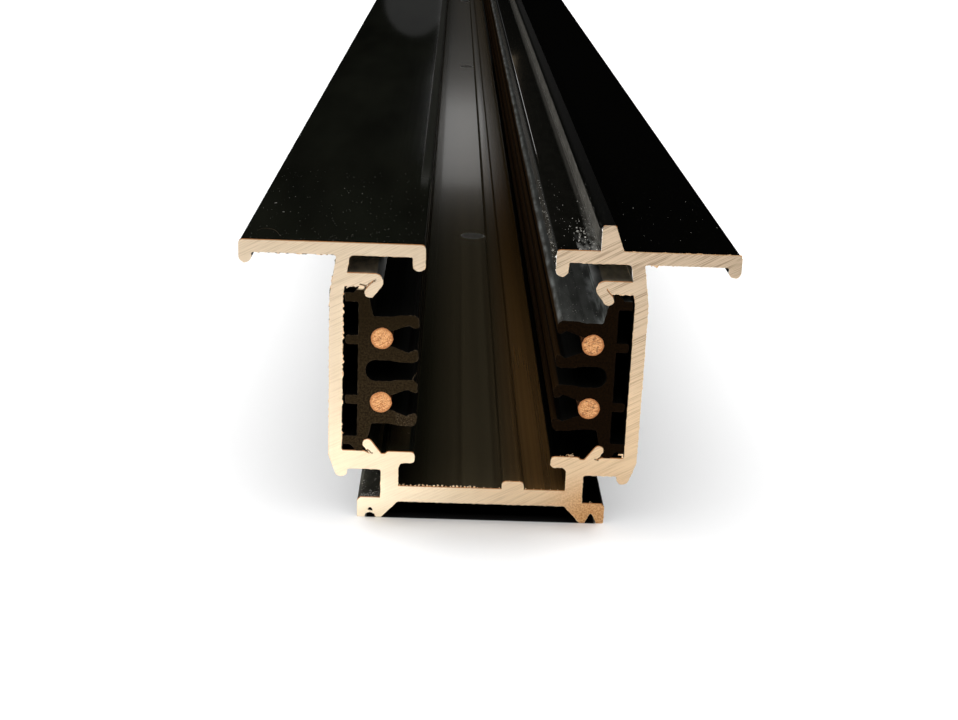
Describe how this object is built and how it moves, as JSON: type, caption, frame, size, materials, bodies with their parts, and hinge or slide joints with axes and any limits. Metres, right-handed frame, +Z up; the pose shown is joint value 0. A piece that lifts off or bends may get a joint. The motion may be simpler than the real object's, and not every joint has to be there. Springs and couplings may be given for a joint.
{
  "type": "recessed three-phase lighting track",
  "caption": "Recessed lighting track: black extruded aluminium channel with ceiling flange, plastic insulators and round copper conductors, open along its top.",
  "frame": {"origin": "middle of the stock length, on the section's centreline, level with the undersides of the feet", "axes": "+X across the track towards the polarity rib, +Y along the track away from the pictured end, +Z up through the open mouth"},
  "size_m": [0.057, 1, 0.0366],
  "materials": {
    "black_aluminium": "satin black coating, bare metal on the sawn ends and hole walls",
    "insulator_plastic": "matte black extruded plastic",
    "conductor_copper": "drawn copper, sawn ends"
  },
  "bodies": {
    "root": {"track_body": "black_aluminium", "insulator_left": "insulator_plastic", "insulator_right": "insulator_plastic", "conductor_left_upper": "conductor_copper", "conductor_left_lower": "conductor_copper", "conductor_right_upper": "conductor_copper", "conductor_right_lower": "conductor_copper"}
  },
  "joints": []
}
